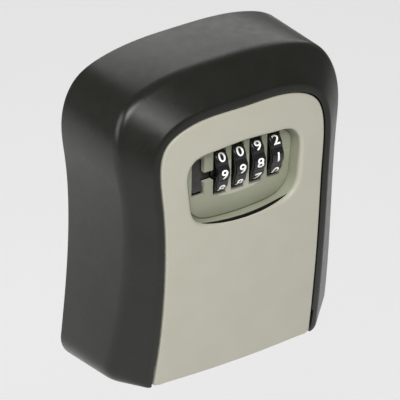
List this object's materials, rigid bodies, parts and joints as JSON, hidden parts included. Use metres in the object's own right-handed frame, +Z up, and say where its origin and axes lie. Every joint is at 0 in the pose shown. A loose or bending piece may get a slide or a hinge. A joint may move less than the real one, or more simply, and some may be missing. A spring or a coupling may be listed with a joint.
{
  "type": "key lock box",
  "caption": "Wall-mounted key lock box: rounded dark housing, pale drop-down door hinged at the bottom, combination dials and a release lever in a recessed window.",
  "frame": {"origin": "middle of the flat back face, on the wall", "axes": "+Z up the wall, +Y into the wall, the door faces -Y, +X to the right as seen from the front"},
  "size_m": [0.1008, 0.0445, 0.1212],
  "materials": {
    "housing_paint": "fine satin powder coat over die-cast zinc",
    "door_paint": "satin warm grey paint over die-cast zinc",
    "dial_plastic": "gloss black, digits filled in white",
    "lever_plastic": "satin dark grey",
    "zinc": "raw die-cast zinc",
    "brass": "turned",
    "steel": "bright zinc plated"
  },
  "bodies": {
    "box": {"housing": "housing_paint", "hinge_pin": "steel"},
    "door": {"door_panel": "door_paint", "lock_case": "zinc", "case_screw_1": "steel", "case_screw_2": "steel", "case_screw_3": "steel", "case_screw_4": "steel", "dial_shaft": "steel", "shaft_clip_1": "steel", "shaft_clip_2": "steel", "hub_spring": "steel", "bolt_spring": "steel", "detent_spring": "steel"},
    "dial_1_body": {"dial_1": "dial_plastic"},
    "dial_2_body": {"dial_2": "dial_plastic"},
    "dial_3_body": {"dial_3": "dial_plastic"},
    "dial_4_body": {"dial_4": "dial_plastic"},
    "hub_1_body": {"dial_hub_1": "brass"},
    "hub_2_body": {"dial_hub_2": "brass"},
    "hub_3_body": {"dial_hub_3": "brass"},
    "hub_4_body": {"dial_hub_4": "brass"},
    "bolt": {"bolt_plate": "zinc", "release_lever": "lever_plastic"},
    "reset": {"reset_lever": "steel"}
  },
  "joints": [
    {"name": "door_hinge", "type": "hinge", "parent": "box", "child": "door", "pos_m": [0, -0.031, -0.0544], "axis": [1, 0, 0], "range_deg": [0, 95]},
    {"name": "dial_1_spin", "type": "hinge", "parent": "door", "child": "dial_1_body", "pos_m": [-0.0084, -0.0314, 0.021], "axis": [1, 0, 0], "continuous": true},
    {"name": "dial_2_spin", "type": "hinge", "parent": "door", "child": "dial_2_body", "pos_m": [-0.0004, -0.0314, 0.021], "axis": [1, 0, 0], "continuous": true},
    {"name": "dial_3_spin", "type": "hinge", "parent": "door", "child": "dial_3_body", "pos_m": [0.0076, -0.0314, 0.021], "axis": [1, 0, 0], "continuous": true},
    {"name": "dial_4_spin", "type": "hinge", "parent": "door", "child": "dial_4_body", "pos_m": [0.0156, -0.0314, 0.021], "axis": [1, 0, 0], "continuous": true},
    {"name": "release_slide", "type": "slide", "parent": "door", "child": "bolt", "axis": [0, 0, -1], "range_m": [0, 0.0015], "stiffness_N_per_m": 400, "springref_m": -0.004, "deforming": ["bolt_spring"]},
    {"name": "reset_slide", "type": "slide", "parent": "door", "child": "reset", "axis": [0, 0, 1], "range_m": [0, 0.003]},
    {"name": "hub_1_shift", "type": "slide", "parent": "dial_1_body", "child": "hub_1_body", "axis": [-1, 0, 0], "range_m": [0, 0.001], "deforming": ["hub_spring"]},
    {"name": "hub_2_shift", "type": "slide", "parent": "dial_2_body", "child": "hub_2_body", "axis": [-1, 0, 0], "range_m": [0, 0.001]},
    {"name": "hub_3_shift", "type": "slide", "parent": "dial_3_body", "child": "hub_3_body", "axis": [-1, 0, 0], "range_m": [0, 0.001]},
    {"name": "hub_4_shift", "type": "slide", "parent": "dial_4_body", "child": "hub_4_body", "axis": [-1, 0, 0], "range_m": [0, 0.001]}
  ],
  "couplings": [
    {"joint": "hub_1_shift", "follows": "reset_slide", "ratio": 0.3333},
    {"joint": "hub_2_shift", "follows": "reset_slide", "ratio": 0.3333},
    {"joint": "hub_3_shift", "follows": "reset_slide", "ratio": 0.3333},
    {"joint": "hub_4_shift", "follows": "reset_slide", "ratio": 0.3333}
  ]
}
